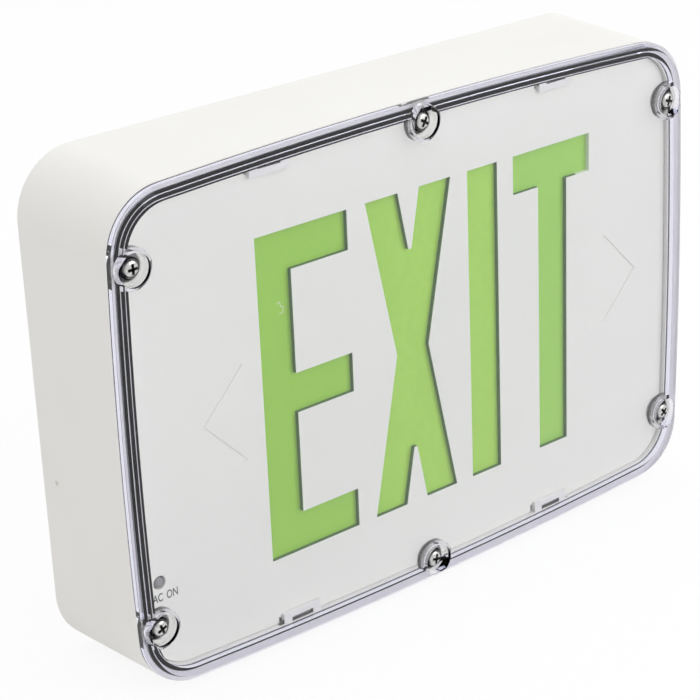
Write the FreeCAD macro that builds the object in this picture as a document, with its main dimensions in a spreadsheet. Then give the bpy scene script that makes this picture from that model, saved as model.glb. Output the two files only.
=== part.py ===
import FreeCAD, Part
import Sketcher
import math
import os

# Emergency exit light: sealed wall unit with a screwed clear cover.
# X runs along the word, Z is up, the back plane is Y = 0 and the front faces -Y.
# "depth" values are distances forward from the back plane.

App = FreeCAD
doc = FreeCAD.newDocument("ExitLight")

# ---------------------------------------------------------------- sizes
SIZES = [
    ("body_width", 336.8, "housing width over the middle of its sides"),
    ("body_height", 233.6, "housing height at the middle"),
    ("rim_depth", 62.6, "back plane to the land of the housing rim"),
    ("back_corner", 29.0, "corner radius of the straight back outline"),
    ("front_corner", 28.0, "corner radius of the bowed front outline"),
    ("crown_long", 2950.0, "radius of the bowed top and bottom edges"),
    ("crown_short", 2450.0, "radius of the bowed side edges"),
    ("back_edge_round", 1.6, "rounding of the back edge"),
    ("side_wall", 3.0, "side wall thickness"),
    ("back_wall", 3.6, "back wall thickness"),
    ("rim_width", 7.2, "width of the land under the cover"),
    ("rim_taper_start", 50.0, "depth where the wall starts to thicken"),
    ("rim_taper_end", 54.2, "depth where the rim has its full width"),
    ("groove_inset", 4.7, "outer edge of the gasket groove"),
    ("groove_width", 2.0, "width of the gasket groove"),
    ("groove_floor", 59.6, "depth of the groove floor"),
    ("cover_seat", 62.8, "depth of the underside of the cover"),
    ("gasket_play", 0.1, "side play of the gasket in its groove"),
    ("screw_in", 9.83, "corner cover screws, in from the bowed side edge"),
    ("screw_drop", 34.9, "corner cover screws, in from the top and bottom"),
    ("screw_edge", 9.6, "middle cover screws, in from the top and bottom"),
    ("boss_radius", 6.2, "cover screw boss"),
    ("insert_radius", 2.6, "threaded insert, outside"),
    ("insert_bore", 2.1, "threaded insert, inside"),
    ("insert_length", 9.0, "threaded insert length"),
    ("boss_bore_depth", 20.0, "depth of the blind hole in a boss"),
    ("cover_inset", 0.3, "cover edge set in from the housing side"),
    ("cover_front", 69.0, "depth of the front face of the cover"),
    ("cover_plate", 2.6, "thickness of the cover plate"),
    ("cover_bead", 6.9, "inner edge of the thick cover rim"),
    ("cover_bevel", 3.15, "bevel of the front edge of the cover"),
    ("cup_radius", 9.2, "outside of a screw cup"),
    ("pocket_radius", 7.5, "inside of a screw cup"),
    ("cup_floor", 1.6, "floor thickness of a screw cup"),
    ("cover_hole", 2.3, "clearance hole in the floor of a cup"),
    ("seal_radius", 4.8, "sealing washer, outside"),
    ("seal_thick", 0.7, "sealing washer thickness"),
    ("head_radius", 4.2, "cover screw head"),
    ("head_height", 2.3, "cover screw head height"),
    ("head_round", 1.4, "pan rounding of the head"),
    ("shank_radius", 2.0, "cover screw shank"),
    ("shank_length", 14.0, "cover screw shank length"),
    ("cross_long", 2.45, "half length of the driver cross"),
    ("cross_half", 0.5, "half width of the driver cross"),
    ("cross_deep", 1.4, "depth of the driver cross"),
    ("face_front", 60.4, "depth of the front of the face plate"),
    ("face_thick", 2.2, "face plate thickness"),
    ("face_inset", 7.5, "edge of the face plate"),
    ("notch_play", 1.0, "play of the face plate round a boss"),
    ("word_x", 8.0, "middle of the word, to the right of the middle"),
    ("letter_half", 76.2, "half letter height"),
    ("stroke", 18.6, "letter stroke"),
    ("letter_width", 50.6, "width of the E"),
    ("tee_width", 49.8, "width of the T"),
    ("word_half", 100.0, "half length of the word"),
    ("mid_bar", 9.35, "half height of the middle bar of the E"),
    ("ex_centre", -13.75, "middle of the X from the middle of the word"),
    ("ex_half", 25.2, "half width of the X"),
    ("ex_gap", 6.3, "half gap between the arms of the X"),
    ("ex_waist", 9.55, "half width of the waist of the X"),
    ("ex_notch_z", 48.6, "height of the blunt bottom of a notch"),
    ("ex_notch_half", 0.9, "half width of the blunt bottom of a notch"),
    ("eye_left", 21.6, "left edge of the I from the middle of the word"),
    ("tee_stem_left", 66.25, "left edge of the T stem"),
    ("arrow_x", 1.0, "middle of the two knock-out arrows"),
    ("arrow_tip", 139.1, "arrow tip from the middle"),
    ("arrow_run", 22.0, "tip to shoulder of an arrow"),
    ("arrow_band", 14.1, "width of the arrow band"),
    ("arrow_rise", 22.5, "half height of an arrow"),
    ("arrow_deep", 0.4, "depth of the arrow outline"),
    ("lamp_in", 15.4, "indicator, in from the left side"),
    ("lamp_up", 53.6, "indicator, up from the bottom"),
    ("lamp_hole", 3.2, "radius of the indicator hole"),
    ("lamp_radius", 2.5, "radius of the indicator lens"),
    ("lamp_flange", 2.9, "radius of the flange of the lens"),
    ("lamp_proud", 0.6, "lens beyond the face plate"),
    ("lamp_seat", 5.0, "seat of the lens behind the face plate"),
    ("lamp_dome", 2.2, "rounding of the lens"),
    ("lamp_flange_high", 1.0, "flange of the lens"),
    ("holder_wall", 1.4, "wall of the lens holder"),
    ("holder_floor", 1.5, "floor of the lens holder"),
    ("lamp_play", 0.1, "play between lens and holder"),
    ("catch_top_x", 83.9, "top catches from the middle"),
    ("catch_low_x", 78.9, "bottom catches from the middle"),
    ("catch_shift", 0.6, "middle of the catches"),
    ("catch_half", 10.6, "half width of a catch"),
    ("catch_reach", 6.2, "reach of a catch over the face plate"),
    ("catch_thick", 1.7, "thickness of a catch"),
    ("catch_gap", 0.15, "play between face plate and catch"),
    ("catch_slot_half", 6.1, "half width of the slot in a catch"),
    ("catch_slot_in", 3.2, "slot in a catch, in from the rim"),
    ("catch_slot_high", 2.2, "height of the slot in a catch"),
    ("slit_width", 1.6, "slit in the face plate beside a catch"),
    ("box_x", 1.0, "middle of the light box"),
    ("box_side", 24.4, "light box, in from the sides of the housing"),
    ("box_over", 8.8, "light box, beyond the letters"),
    ("box_wall", 3.4, "light box wall"),
    ("box_corner", 6.0, "light box corner radius"),
    ("box_back", 30.0, "depth of the back of the light box"),
    ("box_floor", 2.0, "floor thickness of the light box"),
    ("rebate", 1.9, "width of the ledge for the diffuser"),
    ("diffuser_thick", 1.5, "diffuser thickness"),
    ("diffuser_play", 0.3, "play round the diffuser"),
    ("post_in_x", 10.0, "light box posts, in from the ends of the box"),
    ("post_in_z", 11.0, "light box posts, in from the top and bottom of the box"),
    ("post_radius", 4.2, "light box post"),
    ("small_screw", 1.5, "radius of a small screw"),
    ("small_hole", 1.6, "radius of its hole"),
    ("small_head", 3.0, "radius of a small screw head"),
    ("small_head_high", 1.9, "height of a small screw head"),
    ("small_round", 1.0, "pan rounding of a small screw head"),
    ("small_cross", 1.6, "half length of the driver cross of a small screw"),
    ("small_cross_half", 0.35, "half width of the driver cross of a small screw"),
    ("small_cross_deep", 0.9, "depth of the driver cross of a small screw"),
    ("box_screw_length", 12.0, "light box screw length"),
    ("strip_in", 26.0, "end of an LED board, in from the end of the light box"),
    ("strip_wide", 9.0, "width of an LED board"),
    ("strip_thick", 1.2, "thickness of an LED board"),
    ("strip_depth", 38.0, "depth where an LED board starts"),
    ("led_wide", 3.0, "LED package, along the board"),
    ("led_deep", 2.8, "LED package, across the board"),
    ("led_high", 1.0, "LED package height"),
    ("led_pitch", 25.0, "spacing of the LEDs"),
    ("board_left", -122.0, "left edge of the charger board"),
    ("board_right", -22.0, "right edge of the charger board"),
    ("board_low", -60.0, "lower edge of the charger board"),
    ("board_high", 12.0, "upper edge of the charger board"),
    ("board_depth", 9.0, "depth of the back of the board"),
    ("board_thick", 1.6, "board thickness"),
    ("board_hole_in", 5.0, "board holes from the edges"),
    ("board_post", 3.4, "radius of a board post"),
    ("board_tap", 6.0, "depth of the hole in a board post"),
    ("board_screw_length", 6.0, "board screw length"),
    ("post_root", 0.5, "root of a post in the back wall"),
    ("tap_over", 2.0, "hole in a post beyond its screw"),
    ("core_x", -98.0, "middle of the transformer"),
    ("core_z", -24.0, "middle of the transformer, up"),
    ("core_half_x", 17.5, "transformer core, half length"),
    ("core_half_z", 14.5, "transformer core, half height"),
    ("core_thick", 12.0, "transformer core stack"),
    ("coil_half_x", 9.6, "coil, half length"),
    ("coil_half_z", 12.0, "coil, half height"),
    ("window_half", 10.0, "transformer window, half height"),
    ("limb_half", 4.6, "middle limb, half width"),
    ("coil_stand", 2.6, "feet of the transformer above the board"),
    ("cap_radius", 5.0, "capacitor radius"),
    ("cap_height", 13.0, "capacitor height"),
    ("plug_wide", 10.0, "plug housing, width"),
    ("plug_deep", 6.0, "plug housing, depth"),
    ("plug_high", 7.0, "plug housing, height"),
    ("cell_radius", 7.1, "battery cell radius"),
    ("cell_length", 50.0, "battery cell length"),
    ("cell_x", 62.0, "left end of the battery"),
    ("cell_z", -20.0, "middle of the battery"),
    ("cell_play", 0.1, "play between cells"),
    ("wrap_thick", 0.4, "battery sleeve"),
    ("strap_thick", 1.0, "battery strap"),
    ("strap_wide", 12.0, "battery strap width"),
    ("strap_foot", 11.0, "battery strap foot"),
    ("strap_post", 3.0, "height of a strap post"),
    ("strap_play", 0.25, "play between strap and battery"),
    ("strap_tap", 5.0, "depth of the hole in a strap post"),
    ("strap_screw_length", 4.5, "strap screw length"),
    ("stop_gap", 0.3, "play between battery and its rails"),
    ("stop_thick", 2.0, "thickness of a battery rail"),
    ("stop_high", 7.0, "height of a battery rail, with its root"),
    ("lead_radius", 0.9, "lead wire radius"),
    ("thin_lead", 0.55, "radius of the leads of the LED boards"),
    ("lamp_leg", 0.45, "radius of the indicator leads"),
    ("lamp_leg_half", 1.27, "half spacing of the indicator leads"),
    ("lead_lift", 5.0, "straight start of a lead above its plug"),
    ("lead_split", 2.4, "half spacing of two leads at a plug"),
    ("lead_step", 10.0, "step of the way that a lead takes"),
    ("lead_layer", 25.0, "depth of the leads behind the light box"),
    ("lead_bend", 6.0, "longest reach of a bend in a lead"),
    ("lead_hole_play", 0.9, "play of a lead hole in the light box"),
    ("lead_hole_in", 4.0, "lead hole beyond the end of an LED board"),
    ("lead_hole_up", 5.0, "lead hole in from the side of the light box"),
    ("lead_end_in", 0.6, "end of a supply lead, inside the back face"),
    ("entry_radius", 11.0, "wire entry in the back wall"),
    ("entry_bore", 7.0, "bore of the wire entry grommet"),
    ("entry_flange", 14.0, "flange of the grommet"),
    ("entry_recess", 1.4, "recess for the outer flange"),
    ("box_hole_half", 44.45, "junction box holes, half spacing"),
    ("box_hole_radius", 2.3, "junction box screw holes"),
    ("pad_outer", 62.0, "wall gasket, outside radius"),
    ("pad_inner", 55.0, "wall gasket, inside radius"),
    ("pad_thick", 2.0, "wall gasket thickness"),
]

sheet = doc.addObject("Spreadsheet::Sheet", "Sizes")
row = 1
for alias, value, note in SIZES:
    sheet.set("A%d" % row, note)
    sheet.set("B%d" % row, repr(value))
    sheet.setAlias("B%d" % row, alias)
    row += 1
doc.recompute()


class Q(object):
    """A size that carries its number and the expression it comes from."""

    def __init__(self, value, text):
        self.v = float(value)
        self.t = text

    def __add__(self, other):
        o = as_q(other)
        return Q(self.v + o.v, "(%s + %s)" % (self.t, o.t))

    def __radd__(self, other):
        return as_q(other) + self

    def __sub__(self, other):
        o = as_q(other)
        return Q(self.v - o.v, "(%s - %s)" % (self.t, o.t))

    def __rsub__(self, other):
        return as_q(other) - self

    def __mul__(self, other):
        o = as_q(other)
        return Q(self.v * o.v, "(%s * %s)" % (self.t, o.t))

    def __rmul__(self, other):
        return as_q(other) * self

    def __truediv__(self, other):
        o = as_q(other)
        return Q(self.v / o.v, "(%s / %s)" % (self.t, o.t))

    def __neg__(self):
        return Q(-self.v, "(0 - %s)" % self.t)


def as_q(x):
    if isinstance(x, Q):
        return x
    return Q(x, "%.6f" % x)


S = {}
for alias, value, note in SIZES:
    S[alias] = Q(value, "Sizes.%s" % alias)

PARTS = []


# ---------------------------------------------------------------- helpers
def new_body(label):
    body = doc.addObject("PartDesign::Body", label)
    body.Label = label
    body.AllowCompound = True
    PARTS.append(body)
    return body


def plane_of(body, role):
    for feature in body.Origin.OriginFeatures:
        if feature.Role == role:
            return feature
    raise RuntimeError("no plane %s" % role)


def bind(obj, prop, q):
    q = as_q(q)
    obj.setExpression(prop, q.t)


def front_sketch(body, name, depth):
    """A sketch parallel to the front; local X is X and local Y is Z."""
    sk = body.newObject("Sketcher::SketchObject", name)
    sk.AttachmentSupport = [(plane_of(body, "XZ_Plane"), "")]
    sk.MapMode = "FlatFace"
    d = as_q(depth)
    sk.AttachmentOffset = App.Placement(App.Vector(0, 0, d.v), App.Rotation())
    bind(sk, "AttachmentOffset.Base.z", d)
    return sk


def level_sketch(body, name, height):
    """A sketch parallel to the floor; local X is X and local Y is Y."""
    sk = body.newObject("Sketcher::SketchObject", name)
    sk.AttachmentSupport = [(plane_of(body, "XY_Plane"), "")]
    sk.MapMode = "FlatFace"
    h = as_q(height)
    sk.AttachmentOffset = App.Placement(App.Vector(0, 0, h.v), App.Rotation())
    bind(sk, "AttachmentOffset.Base.z", h)
    return sk


def side_sketch(body, name, across):
    """A sketch parallel to the side; local X is Y and local Y is Z."""
    sk = body.newObject("Sketcher::SketchObject", name)
    sk.AttachmentSupport = [(plane_of(body, "YZ_Plane"), "")]
    sk.MapMode = "FlatFace"
    a = as_q(across)
    sk.AttachmentOffset = App.Placement(App.Vector(0, 0, a.v), App.Rotation())
    bind(sk, "AttachmentOffset.Base.z", a)
    return sk


def hold(sk, kind, args, q):
    """Add one size constraint and bind it to its expression."""
    q = as_q(q)
    index = sk.addConstraint(Sketcher.Constraint(kind, *(list(args) + [q.v])))
    sk.setExpression("Constraints[%d]" % index, q.t)


def fix_point(sk, geo, pos, qx, qy):
    hold(sk, "DistanceX", (-1, 1, geo, pos), qx)
    hold(sk, "DistanceY", (-1, 1, geo, pos), qy)


def polygon(sk, points):
    """A closed polygon; every corner is bound to two sizes."""
    pts = [(as_q(a), as_q(b)) for a, b in points]
    first = sk.GeometryCount
    n = len(pts)
    for i in range(n):
        a = pts[i]
        b = pts[(i + 1) % n]
        sk.addGeometry(Part.LineSegment(App.Vector(a[0].v, a[1].v, 0), App.Vector(b[0].v, b[1].v, 0)))
    for i in range(n):
        sk.addConstraint(Sketcher.Constraint("Coincident", first + i, 2, first + (i + 1) % n, 1))
    for i in range(n):
        fix_point(sk, first + i, 1, pts[i][0], pts[i][1])


def rectangle(sk, x0, x1, y0, y1):
    polygon(sk, [(x0, y0), (x1, y0), (x1, y1), (x0, y1)])


def circles(sk, centres, radius):
    radius = as_q(radius)
    for cx, cy in centres:
        cx = as_q(cx)
        cy = as_q(cy)
        circle = Part.Circle(App.Vector(cx.v, cy.v, 0), App.Vector(0, 0, 1), radius.v)
        geo = sk.addGeometry(circle)
        hold(sk, "Radius", (geo,), radius)
        fix_point(sk, geo, 3, cx, cy)


def arc_of(cx, cy, r, a0, a1):
    circle = Part.Circle(App.Vector(cx, cy, 0), App.Vector(0, 0, 1), r)
    return Part.ArcOfCircle(circle, math.radians(a0), math.radians(a1))


def round_box(sk, half_x, half_y, radius, mid_x=0.0, mid_y=0.0):
    """A rectangle with rounded corners, started at its right side."""
    hx = as_q(half_x)
    hy = as_q(half_y)
    r = as_q(radius)
    mx = as_q(mid_x)
    my = as_q(mid_y)
    first = sk.GeometryCount
    x1 = mx.v + hx.v
    x0 = mx.v - hx.v
    y1 = my.v + hy.v
    y0 = my.v - hy.v
    rv = r.v
    vec = App.Vector
    sk.addGeometry(Part.LineSegment(vec(x1, y0 + rv, 0), vec(x1, y1 - rv, 0)))
    sk.addGeometry(arc_of(x1 - rv, y1 - rv, rv, 0, 90))
    sk.addGeometry(Part.LineSegment(vec(x1 - rv, y1, 0), vec(x0 + rv, y1, 0)))
    sk.addGeometry(arc_of(x0 + rv, y1 - rv, rv, 90, 180))
    sk.addGeometry(Part.LineSegment(vec(x0, y1 - rv, 0), vec(x0, y0 + rv, 0)))
    sk.addGeometry(arc_of(x0 + rv, y0 + rv, rv, 180, 270))
    sk.addGeometry(Part.LineSegment(vec(x0 + rv, y0, 0), vec(x1 - rv, y0, 0)))
    sk.addGeometry(arc_of(x1 - rv, y0 + rv, rv, 270, 360))
    for i in range(8):
        sk.addConstraint(Sketcher.Constraint("Tangent", first + i, 2, first + (i + 1) % 8, 1))
    for i in (1, 3, 5, 7):
        hold(sk, "Radius", (first + i,), r)
    fix_point(sk, first + 1, 3, mx + hx - r, my + hy - r)
    fix_point(sk, first + 3, 3, mx - hx + r, my + hy - r)
    fix_point(sk, first + 5, 3, mx - hx + r, my - hy + r)
    fix_point(sk, first + 7, 3, mx + hx - r, my - hy + r)


def corner_centre(hx, hy, r, r_long, r_short):
    """Centre of the corner arc that touches a bowed side and a bowed edge."""
    x = hx - r
    y = hy - r
    for step in range(60):
        ax = x
        ay = y - (hy - r_long)
        bx = x - (hx - r_short)
        by = y
        fa = math.hypot(ax, ay) - (r_long - r)
        fb = math.hypot(bx, by) - (r_short - r)
        la = math.hypot(ax, ay)
        lb = math.hypot(bx, by)
        det = (ax / la) * (by / lb) - (ay / la) * (bx / lb)
        dx = (fa * (by / lb) - fb * (ay / la)) / det
        dy = ((ax / la) * fb - (bx / lb) * fa) / det
        x -= dx
        y -= dy
    return x, y


def bowed_box(sk, inset, bow=1.0):
    """The bowed outline of the front, moved inward by an inset."""
    inset = as_q(inset)
    bow = as_q(bow)
    hx = S["body_width"] / 2 - inset
    hy = S["body_height"] / 2 - inset
    r = S["front_corner"] - inset
    big = S["crown_long"] * bow - inset
    mid = S["crown_short"] * bow - inset
    cx, cy = corner_centre(hx.v, hy.v, r.v, big.v, mid.v)
    ty = hy.v - big.v
    sx = hx.v - mid.v
    # angles where the arcs meet
    top = math.degrees(math.atan2(cy - ty, cx))
    side = math.degrees(math.atan2(cy, cx - sx))
    first = sk.GeometryCount
    sk.addGeometry(arc_of(sx, 0, mid.v, -side, side))
    sk.addGeometry(arc_of(cx, cy, r.v, side, top))
    sk.addGeometry(arc_of(0, ty, big.v, top, 180 - top))
    sk.addGeometry(arc_of(-cx, cy, r.v, 180 - top, 180 - side))
    sk.addGeometry(arc_of(-sx, 0, mid.v, 180 - side, 180 + side))
    sk.addGeometry(arc_of(-cx, -cy, r.v, 180 + side, 180 + top))
    sk.addGeometry(arc_of(0, -ty, big.v, 180 + top, 360 - top))
    sk.addGeometry(arc_of(cx, -cy, r.v, 360 - top, 360 - side))
    for i in range(8):
        sk.addConstraint(Sketcher.Constraint("Tangent", first + i, 2, first + (i + 1) % 8, 1))
    for i in (1, 3, 5, 7):
        hold(sk, "Radius", (first + i,), r)
    hold(sk, "Radius", (first,), mid)
    hold(sk, "Radius", (first + 4,), mid)
    hold(sk, "Radius", (first + 2,), big)
    hold(sk, "Radius", (first + 6,), big)
    fix_point(sk, first, 3, hx - mid, 0.0)
    fix_point(sk, first + 4, 3, mid - hx, 0.0)
    fix_point(sk, first + 2, 3, 0.0, hy - big)
    fix_point(sk, first + 6, 3, 0.0, big - hy)


def pad(body, sk, length, name, reverse=False):
    """Pad toward the front, or toward the back when reversed."""
    feature = body.newObject("PartDesign::Pad", name)
    feature.Profile = sk
    feature.Length = as_q(length).v
    bind(feature, "Length", length)
    feature.Reversed = reverse
    sk.Visibility = False
    return feature


def pocket(body, sk, length, name, forward=False):
    """Pocket toward the back, or toward the front when forward."""
    feature = body.newObject("PartDesign::Pocket", name)
    feature.Profile = sk
    feature.Length = as_q(length).v
    bind(feature, "Length", length)
    feature.Reversed = forward
    sk.Visibility = False
    return feature


def loft(body, kind, name, profile, section):
    feature = body.newObject("PartDesign::%s" % kind, name)
    feature.Profile = profile
    feature.Sections = [section]
    feature.Ruled = True
    return feature


def bevel_edges(body, base, name, size, test):
    doc.recompute()
    names = []
    for i, edge in enumerate(base.Shape.Edges):
        if test(edge):
            names.append("Edge%d" % (i + 1))
    feature = body.newObject("PartDesign::Chamfer", name)
    feature.Base = (base, names)
    feature.Size = as_q(size).v
    bind(feature, "Size", size)
    return feature


def round_edges(body, base, name, radius, test):
    doc.recompute()
    names = []
    for i, edge in enumerate(base.Shape.Edges):
        if test(edge):
            names.append("Edge%d" % (i + 1))
    feature = body.newObject("PartDesign::Fillet", name)
    feature.Base = (base, names)
    feature.Radius = as_q(radius).v
    bind(feature, "Radius", radius)
    return feature


def at_depth(edge, depth, tol=0.01):
    box = edge.BoundBox
    return abs(box.YMin + depth) < tol and abs(box.YMax + depth) < tol


def cover_points():
    z = S["body_height"] / 2 - S["screw_drop"]
    bow = z * z / S["crown_short"] / 2
    x = S["body_width"] / 2 - bow - S["screw_in"]
    m = S["body_height"] / 2 - S["screw_edge"]
    return [(x, z), (-x, z), (-x, -z), (x, -z), (0.0, m), (0.0, -m)]


def lamp_spot():
    return (S["lamp_in"] - S["body_width"] / 2, S["lamp_up"] - S["body_height"] / 2)


def box_half():
    """Half width and half height of the light box."""
    return (S["body_width"] / 2 - S["box_side"], S["letter_half"] + S["box_over"])


def strip_half():
    return box_half()[0] - S["strip_in"]


def box_posts():
    mid = S["box_x"]
    x = box_half()[0] - S["post_in_x"]
    z = box_half()[1] - S["post_in_z"]
    return [(mid + x, z), (mid - x, z), (mid - x, -z), (mid + x, -z)]


def board_posts():
    a = S["board_left"] + S["board_hole_in"]
    b = S["board_right"] - S["board_hole_in"]
    c = S["board_low"] + S["board_hole_in"]
    d = S["board_high"] - S["board_hole_in"]
    return [(a, c), (b, c), (b, d), (a, d)]


def strap_mid():
    return S["cell_x"] + S["cell_length"] / 2


def strap_reach():
    """Half height of the battery with its sleeve."""
    return S["cell_radius"] * 3 + S["cell_play"] + S["wrap_thick"]


def strap_posts():
    x = strap_mid()
    off = strap_reach() + S["strap_thick"] + S["strap_foot"] / 2
    return [(x, S["cell_z"] + off), (x, S["cell_z"] - off)]


def catches():
    t = S["catch_top_x"]
    b = S["catch_low_x"]
    s = S["catch_shift"]
    return [(s - t, 1), (s + t, 1), (s - b, -1), (s + b, -1)]


# ---------------------------------------------------------------- housing
def make_housing():
    body = new_body("back_housing")
    sk_back = front_sketch(body, "housing_back_outline", 0.0)
    round_box(sk_back, S["body_width"] / 2, S["body_height"] / 2, S["back_corner"])
    sk_front = front_sketch(body, "housing_front_outline", S["rim_depth"])
    bowed_box(sk_front, 0.0)
    shell = loft(body, "AdditiveLoft", "housing_block", sk_back, sk_front)
    edge_round = round_edges(body, shell, "housing_back_round", S["back_edge_round"],
                             lambda e: at_depth(e, 0.0))
    # room behind the rim
    sk_a = front_sketch(body, "room_back", S["back_wall"])
    wall = S["side_wall"]
    round_box(sk_a, S["body_width"] / 2 - wall, S["body_height"] / 2 - wall, S["back_corner"] - wall)
    sk_b = front_sketch(body, "room_front", S["rim_taper_start"])
    bowed_box(sk_b, wall, S["rim_depth"] / S["rim_taper_start"])
    loft(body, "SubtractiveLoft", "room", sk_a, sk_b)
    # taper up to the land, then the straight mouth
    sk_c = front_sketch(body, "taper_back", S["rim_taper_start"])
    bowed_box(sk_c, wall, S["rim_depth"] / S["rim_taper_start"])
    sk_d = front_sketch(body, "taper_front", S["rim_taper_end"])
    bowed_box(sk_d, S["rim_width"])
    loft(body, "SubtractiveLoft", "taper", sk_c, sk_d)
    sk_e = front_sketch(body, "mouth", S["rim_depth"])
    bowed_box(sk_e, S["rim_width"])
    pocket(body, sk_e, S["rim_depth"] - S["rim_taper_end"], "mouth_cut")
    # cover screw bosses
    sk_f = front_sketch(body, "boss_rings", S["back_wall"] - S["post_root"])
    circles(sk_f, cover_points(), S["boss_radius"])
    pad(body, sk_f, S["cover_seat"] - S["back_wall"] + S["post_root"], "bosses")
    # holes for the threaded inserts
    sk_h = front_sketch(body, "insert_seats", S["cover_seat"])
    circles(sk_h, cover_points(), S["insert_radius"])
    pocket(body, sk_h, S["insert_length"], "insert_seat_cut")
    sk_i = front_sketch(body, "boss_bores", S["cover_seat"])
    circles(sk_i, cover_points(), S["insert_bore"] + 0.2)
    pocket(body, sk_i, S["boss_bore_depth"], "boss_bore_cut")
    housing_posts(body)
    housing_catches(body)
    # gasket groove
    sk_g = front_sketch(body, "groove", S["cover_seat"] + 0.2)
    bowed_box(sk_g, S["groove_inset"])
    bowed_box(sk_g, S["groove_inset"] + S["groove_width"])
    pocket(body, sk_g, S["cover_seat"] + 0.2 - S["groove_floor"], "groove_cut")
    housing_back_cuts(body)
    return body


def housing_posts(body):
    low = S["back_wall"] - S["post_root"]
    sk = front_sketch(body, "light_box_posts", low)
    circles(sk, box_posts(), S["post_radius"])
    pad(body, sk, S["box_back"] - low, "light_box_post_pad")
    sk = front_sketch(body, "board_post_rings", low)
    circles(sk, board_posts(), S["board_post"])
    pad(body, sk, S["board_depth"] - low, "board_post_pad")
    sk = front_sketch(body, "strap_post_rings", low)
    circles(sk, strap_posts(), S["board_post"] + 0.6)
    pad(body, sk, S["strap_post"] - low + S["back_wall"], "strap_post_pad")
    # two rails that keep the battery from sliding
    sk = front_sketch(body, "battery_stops", low)
    half = strap_reach()
    gap = S["stop_gap"]
    thick = S["stop_thick"]
    left = S["cell_x"] - S["wrap_thick"] - gap
    right = S["cell_x"] + S["cell_length"] + S["wrap_thick"] + gap
    rectangle(sk, left - thick, left, S["cell_z"] - half, S["cell_z"] + half)
    rectangle(sk, right, right + thick, S["cell_z"] - half, S["cell_z"] + half)
    pad(body, sk, S["stop_high"], "battery_stop_pad")
    # screw holes in the posts
    sk = front_sketch(body, "light_box_post_holes", S["box_back"])
    circles(sk, box_posts(), S["small_hole"])
    pocket(body, sk, S["box_screw_length"] + S["tap_over"], "light_box_post_hole_cut")
    sk = front_sketch(body, "board_post_holes", S["board_depth"])
    circles(sk, board_posts(), S["small_hole"])
    pocket(body, sk, S["board_tap"], "board_post_hole_cut")
    sk = front_sketch(body, "strap_post_holes", S["back_wall"] + S["strap_post"])
    circles(sk, strap_posts(), S["small_hole"])
    pocket(body, sk, S["strap_tap"], "strap_post_hole_cut")


def housing_catches(body):
    base = S["face_front"] + S["catch_gap"]
    edge = S["body_height"] / 2 - S["rim_width"]
    sk = front_sketch(body, "catch_blocks", base)
    for x, side in catches():
        outer = (edge - 0.5) * side
        inner = (edge - S["catch_reach"]) * side
        low = outer if side < 0 else inner
        high = inner if side < 0 else outer
        rectangle(sk, x - S["catch_half"], x + S["catch_half"], low, high)
    pad(body, sk, S["catch_thick"], "catch_pad")
    sk = front_sketch(body, "catch_slots", base + S["catch_thick"])
    for x, side in catches():
        near = (edge - S["catch_slot_in"]) * side
        far = (edge - S["catch_slot_in"] + S["catch_slot_high"]) * side
        low = far if side < 0 else near
        high = near if side < 0 else far
        rectangle(sk, x - S["catch_slot_half"], x + S["catch_slot_half"], low, high)
    pocket(body, sk, S["catch_thick"], "catch_slot_cut")


def housing_back_cuts(body):
    sk = front_sketch(body, "entry_hole", 0.0)
    circles(sk, [(0.0, 0.0)], S["entry_radius"])
    holes = [(S["box_hole_half"], 0.0), (-S["box_hole_half"], 0.0)]
    circles(sk, holes, S["box_hole_radius"])
    pocket(body, sk, S["back_wall"] + 0.5, "entry_hole_cut", True)
    sk = front_sketch(body, "entry_recess_ring", 0.0)
    circles(sk, [(0.0, 0.0)], S["entry_flange"] + 0.3)
    pocket(body, sk, S["entry_recess"], "entry_recess_cut", True)
    sk = front_sketch(body, "wall_gasket_channel", 0.0)
    circles(sk, [(0.0, 0.0)], S["pad_outer"] + 0.2)
    circles(sk, [(0.0, 0.0)], S["pad_inner"] - 0.2)
    pocket(body, sk, S["pad_thick"], "wall_gasket_cut", True)


def make_wall_gasket():
    body = new_body("wall_gasket")
    sk = front_sketch(body, "wall_gasket_ring", 0.0)
    circles(sk, [(0.0, 0.0)], S["pad_outer"])
    circles(sk, [(0.0, 0.0)], S["pad_inner"])
    pad(body, sk, S["pad_thick"], "wall_gasket_pad")


def make_entry_grommet():
    body = new_body("entry_grommet")
    inner = 1.6
    total = S["back_wall"] + inner
    sk = side_sketch(body, "grommet_profile", 0.0)
    bore = S["entry_bore"]
    neck = S["entry_radius"] - 0.1
    flange = S["entry_flange"]
    recess = S["entry_recess"]
    wall = S["back_wall"]
    polygon(sk, [(0.0, bore), (0.0, flange), (-recess, flange), (-recess, neck), (-wall, neck),
                 (-wall, flange), (-total, flange), (-total, bore)])
    spin = body.newObject("PartDesign::Revolution", "grommet_turn")
    spin.Profile = sk
    spin.ReferenceAxis = (sk, ["H_Axis"])
    spin.Angle = 360.0
    sk.Visibility = False


# ---------------------------------------------------------------- cover
def make_cover_gasket():
    body = new_body("cover_gasket")
    sk = front_sketch(body, "gasket_ring", S["groove_floor"])
    bowed_box(sk, S["groove_inset"] + S["gasket_play"])
    bowed_box(sk, S["groove_inset"] + S["groove_width"] - S["gasket_play"])
    pad(body, sk, S["cover_seat"] - S["groove_floor"], "gasket_pad")


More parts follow.
